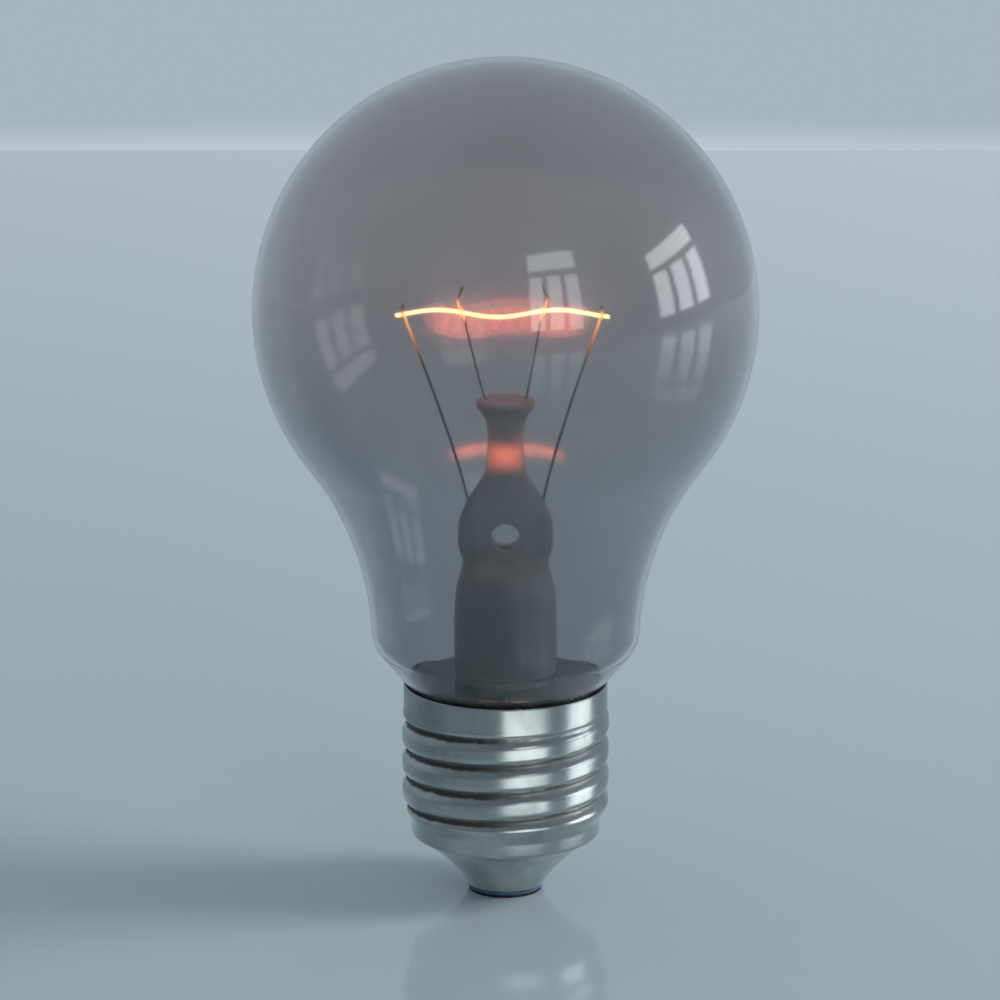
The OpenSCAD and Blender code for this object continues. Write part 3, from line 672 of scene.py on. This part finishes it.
# Studio: a glossy pale floor that ends well behind the lamp, and a plain pale room beyond it
studio = {"floorFar": 560, "floorSide": 2600, "floorNear": 3400, "floor": "#b4c0c5", "far": "#eef2f3",
          "paleFrom": -100, "palePower": 1.6, "roughness": 0.1, "wall": "#a7b5be", "line": "#c2cfd5"}
width, depth = 2 * studio["floorSide"], studio["floorFar"] + studio["floorNear"]
bpy.ops.mesh.primitive_plane_add(size=1, location=(0, (studio["floorFar"] - studio["floorNear"]) / 2 * mm, 0))
floor = bpy.context.object
floor.name = "studioFloor"
floor.scale = (width * mm, depth * mm, 1)
bpy.ops.object.transform_apply(location=True, rotation=True, scale=True)
# Polished pale lacquer, smooth enough to mirror the lamp softly; its colour grows paler far away, which is
# painted light
floorMaterial = newMaterial("polishedPaleFloor")
tree = floorMaterial.node_tree
place = addNode(tree, "ShaderNodeTexCoord", {}).outputs["Object"]
away = addNode(tree, "ShaderNodeSeparateXYZ", {0: place}).outputs["Y"]
farPart = addNode(tree, "ShaderNodeMapRange", {
    "Value": away, "From Min": studio["paleFrom"] * mm, "From Max": studio["floorFar"] * mm})
paintedFarLight = addNode(tree, "ShaderNodeMath", {0: farPart.outputs[0], 1: studio["palePower"]}, operation="POWER")
shade = addNode(tree, "ShaderNodeMix", {
    0: paintedFarLight.outputs[0], 6: linear(studio["floor"]), 7: linear(studio["far"])}, data_type="RGBA")
body = addNode(tree, "ShaderNodeBsdfPrincipled", {
    "Base Color": shade.outputs[2], "Roughness": studio["roughness"], "IOR": 1.48})
addNode(tree, "ShaderNodeOutputMaterial", {"Surface": body.outputs[0]})
floor.data.materials.append(floorMaterial)

# Room light: the wall behind is bright, with a paler line along its foot, and the room in front is darker.
# The line's heights are sines of the angle above the horizon.
room = {"strength": 1, "front": 0.62, "lineLow": -0.171, "lineHigh": -0.161}
world = bpy.data.worlds.new("paleRoom")
scene.world = world
world.use_nodes = True
tree = world.node_tree
tree.nodes.clear()
sight = addNode(tree, "ShaderNodeTexCoord", {}).outputs["Generated"]
facing = addNode(tree, "ShaderNodeSeparateXYZ", {0: sight})
backPart = addNode(tree, "ShaderNodeMapRange", {
    "Value": facing.outputs["Y"], "From Min": -0.7, "From Max": 0.5, "To Min": room["front"], "To Max": 1},
                   interpolation_type="SMOOTHSTEP")
linePart = addNode(tree, "ShaderNodeMapRange", {
    "Value": facing.outputs["Z"], "From Min": room["lineHigh"], "From Max": room["lineLow"]},
                   interpolation_type="SMOOTHSTEP")
wall = addNode(tree, "ShaderNodeMix", {
    0: linePart.outputs[0], 6: linear(studio["wall"]), 7: linear(studio["line"])}, data_type="RGBA")
wallLight = addNode(tree, "ShaderNodeVectorMath", {0: wall.outputs[2], 1: backPart.outputs[0]},
                    operation="MULTIPLY")
back = addNode(tree, "ShaderNodeBackground", {"Color": wallLight.outputs[0], "Strength": room["strength"]})
addNode(tree, "ShaderNodeOutputWorld", {"Surface": back.outputs[0]})


def outwards(turn, rise=0):
    # direction from the lamp's axis: turn goes to the right of the front, rise goes up
    turn, rise = math.radians(turn), math.radians(rise)
    return Vector((math.sin(turn) * math.cos(rise), -math.cos(turn) * math.cos(rise), math.sin(rise)))


def litOnly(name, piece):
    # a collection for lights that shine on this piece and on nothing else
    group = bpy.data.collections.new(name)
    group.objects.link(piece)
    return group


def addPanel(name, spot, back, size, brightness, hiddenTo, **settings):
    # a flat light whose back faces the given direction; its brightness is that of its surface
    bpy.ops.object.light_add(type="AREA", location=spot * mm)
    panel = bpy.context.object
    panel.name = name
    panel.rotation_euler = back.to_track_quat("Z", "Y").to_euler()
    panel.data.shape = "RECTANGLE"
    panel.data.size, panel.data.size_y = size[0] * mm, size[1] * mm
    for key, value in settings.items():
        setattr(panel.data, key, value)
    share = math.pi / 4 if panel.data.shape == "DISK" else 1
    panel.data.energy = brightness * math.pi * share * size[0] * size[1] * mm * mm
    for ray in hiddenTo:
        setattr(panel, "visible_" + ray, False)
    return panel


# Two windows with glazing bars: each is a low wide light over tall narrow ones
windows = {
    "right": {"turn": 89, "low": 3, "high": 27, "spread": 32, "distance": 1500, "brightness": 3},
    "front": {"turn": 23, "low": 4, "high": 38, "spread": 24, "distance": 1500, "brightness": 1.9},
}
# Shares of a window's own width and height
paneLayout = {"topAt": 0.87, "topTall": 0.26, "lowAt": 0.34, "lowTall": 0.62, "lowWide": 0.26,
              "lowStep": 0.36}
for name, window in windows.items():
    reach = window["distance"]
    wide = 2 * reach * math.tan(math.radians(window["spread"] / 2))
    low, high = (reach * math.tan(math.radians(window[key])) for key in ("low", "high"))
    tall = high - low
    panes = [(0, low + paneLayout["topAt"] * tall, wide, paneLayout["topTall"] * tall)]
    panes += [(k * wide * paneLayout["lowStep"], low + paneLayout["lowAt"] * tall,
               wide * paneLayout["lowWide"], paneLayout["lowTall"] * tall) for k in (-1, 0, 1)]
    for k, (across, up, paneWide, paneTall) in enumerate(panes):
        spot = reach * outwards(window["turn"]) + across * outwards(window["turn"] + 90)
        addPanel("pane_" + name + "_" + str(k), spot + Vector((0, 0, up)), spot, (paneWide, paneTall),
                 window["brightness"], ("camera",), color=(0.93, 0.97, 1))

# A broad soft light high on the right throws the lamp's shadow to the left
keyLight = {"turn": 91, "rise": 33, "distance": 1300, "size": 420, "brightness": 14}
away = outwards(keyLight["turn"], keyLight["rise"])
addPanel("softKey", away * keyLight["distance"], away, (keyLight["size"], keyLight["size"]),
         keyLight["brightness"], ("camera", "glossy", "transmission"))

# Low bright panels close to the cap, each facing it, whose light only its shiny surfaces show
cardLook = {"brightness": 1.55, "away": 41, "low": 0.5, "high": 21}
cards = {"front": {"turn": 19, "spread": 42}, "right": {"turn": 82, "spread": 32}}
capOnly = litOnly("capOnly", screwCap)
for name, card in cards.items():
    away = outwards(card["turn"])
    spot = away * cardLook["away"] + Vector((0, 0, lerp(cardLook["low"], cardLook["high"], 0.5)))
    wide = 2 * cardLook["away"] * math.tan(math.radians(card["spread"] / 2))
    panel = addPanel("card_" + name, spot, away, (wide, cardLook["high"] - cardLook["low"]),
                     cardLook["brightness"], ("camera", "diffuse", "transmission"))
    panel.light_linking.receiver_collection = capOnly

# One more lies on the floor under the cap and fills the taper with cool light
fill = {"radius": 58, "forward": 14, "height": 0.3, "brightness": 0.15, "colour": (0.75, 0.95, 1)}
panel = addPanel("card_under", Vector((0, -fill["forward"], fill["height"])), Vector((0, 0, -1)),
                 (2 * fill["radius"], 2 * fill["radius"]), fill["brightness"],
                 ("camera", "diffuse", "transmission"), shape="DISK", color=fill["colour"])
panel.light_linking.receiver_collection = capOnly

# The filament's light in the glass, as a row of soft bulbs.
# They hang a little high, so that the round glass mirrors them level with the filament.
glowSet = {"count": 13, "reach": 0.8, "radius": 2.4, "lift": 1.5, "watts": 0.0014, "colour": (1, 0.17, 0.07)}
glassOnly = litOnly("glassOnly", bulbGlass)
for k in range(glowSet["count"]):
    x = filament["sway"] + lerp(-1, 1, k / (glowSet["count"] - 1)) * glowSet["reach"] * filament["half"]
    bpy.ops.object.light_add(type="POINT", location=(x * mm, 0, (filamentHeight(x) + glowSet["lift"]) * mm))
    ember = bpy.context.object
    ember.name = "ember_" + str(k)
    ember.data.color = glowSet["colour"]
    ember.data.shadow_soft_size = glowSet["radius"] * mm
    ember.data.energy = glowSet["watts"]
    ember.visible_camera = False
    ember.visible_transmission = False
    ember.light_linking.receiver_collection = glassOnly

# The disc alone mirrors a brighter copy of the filament, which stands for its white-hot core
core = {"length": 26, "thick": 0.9, "drop": 0.5, "brightness": 55, "colour": (1, 0.27, 0.07)}
discOnly = litOnly("discOnly", neckDisc)
panel = addPanel("hotCore", Vector((filament["sway"], 0, filament["height"] - core["drop"])),
                 Vector((0, 0, 1)), (core["length"], core["thick"]), core["brightness"],
                 ("camera", "transmission"), color=core["colour"])
panel.light_linking.receiver_collection = discOnly

# The disc's rounded edge also mirrors a high bright panel on the right
highCard = {"turn": 115, "rise": 35, "distance": 150, "size": 62, "brightness": 90}
away = outwards(highCard["turn"], highCard["rise"])
panel = addPanel("card_high", away * highCard["distance"] + Vector((0, 0, cap["rim"])), away,
                 (highCard["size"], highCard["size"]), highCard["brightness"],
                 ("camera", "diffuse", "transmission"))
panel.light_linking.receiver_collection = discOnly

# Red light on the stem: one part from the filament above, one gathered by the round glass lower down
stemGlow = {
    "button": {"place": (filament["sway"], 0, filament["height"]), "back": (0, 0, 1), "size": (24, 3),
               "brightness": 7, "spread": 180},
    "waist": {"place": (0, -6.4, 57.2), "back": (0, -1, 0), "size": (9, 1.2), "brightness": 14, "spread": 56},
}
stemOnly = litOnly("stemOnly", stemGlass)
for name, glow in stemGlow.items():
    panel = addPanel("stemGlow_" + name, Vector(glow["place"]), Vector(glow["back"]), glow["size"],
                     glow["brightness"], ("camera", "glossy", "transmission"), color=glowSet["colour"],
                     spread=math.radians(glow["spread"]))
    panel.light_linking.receiver_collection = stemOnly

scene.view_settings.view_transform = "Standard"
print("studio set")

bpy.context.view_layer.update()
